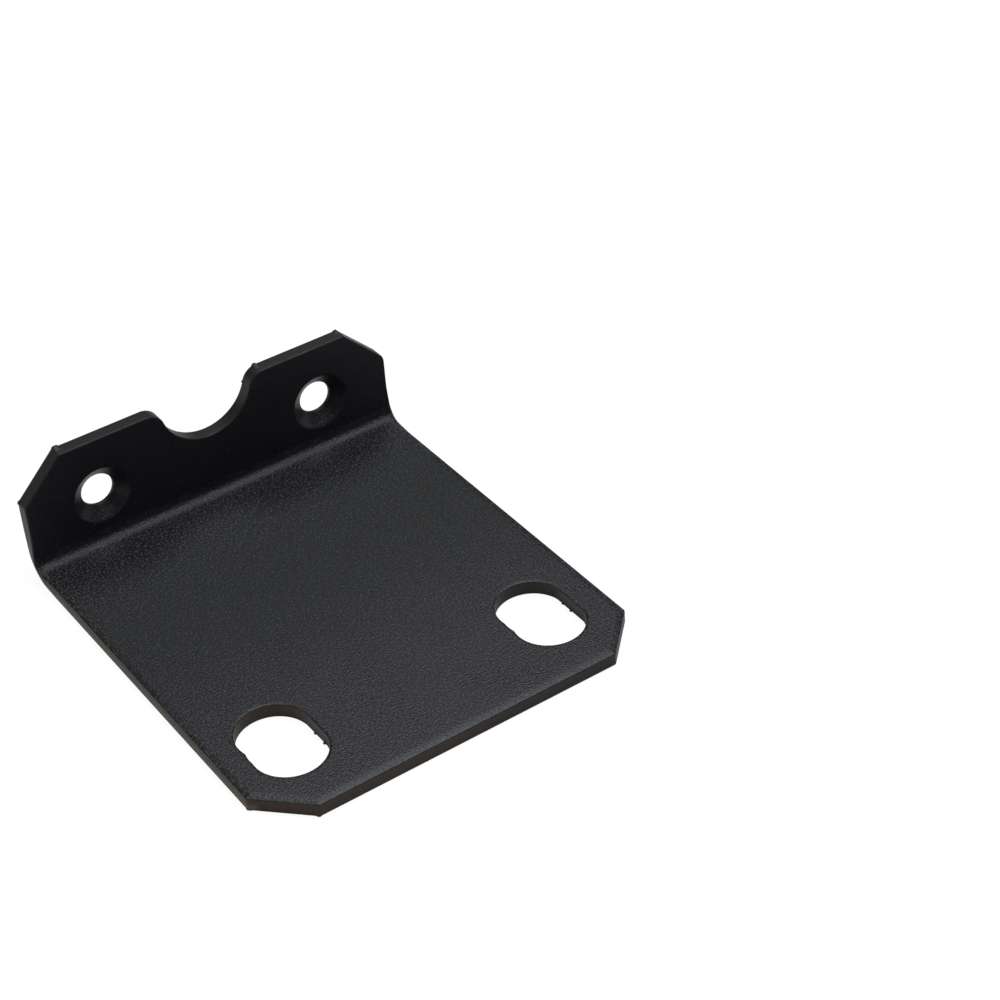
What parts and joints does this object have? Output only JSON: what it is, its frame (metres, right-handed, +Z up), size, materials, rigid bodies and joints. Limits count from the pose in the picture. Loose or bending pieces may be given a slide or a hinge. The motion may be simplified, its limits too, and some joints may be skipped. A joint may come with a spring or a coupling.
{
  "type": "rack mount ear bracket",
  "caption": "Folded sheet-steel ear that joins a case's side wall to a rack rail: flat slotted flange, short standing flange with countersunk screw holes and a round notch.",
  "frame": {"origin": "under the middle of the bracket, on the plane of the long flange's underside", "axes": "+X along the fold, +Y from the slotted front edge to the standing flange, +Z up, the way the standing flange rises"},
  "size_m": [0.044, 0.05, 0.014],
  "materials": {
    "coated_steel": "black powder coat with a fine even grain, on sheet steel"
  },
  "bodies": {
    "root": {"ear_bracket": "coated_steel"}
  },
  "joints": []
}
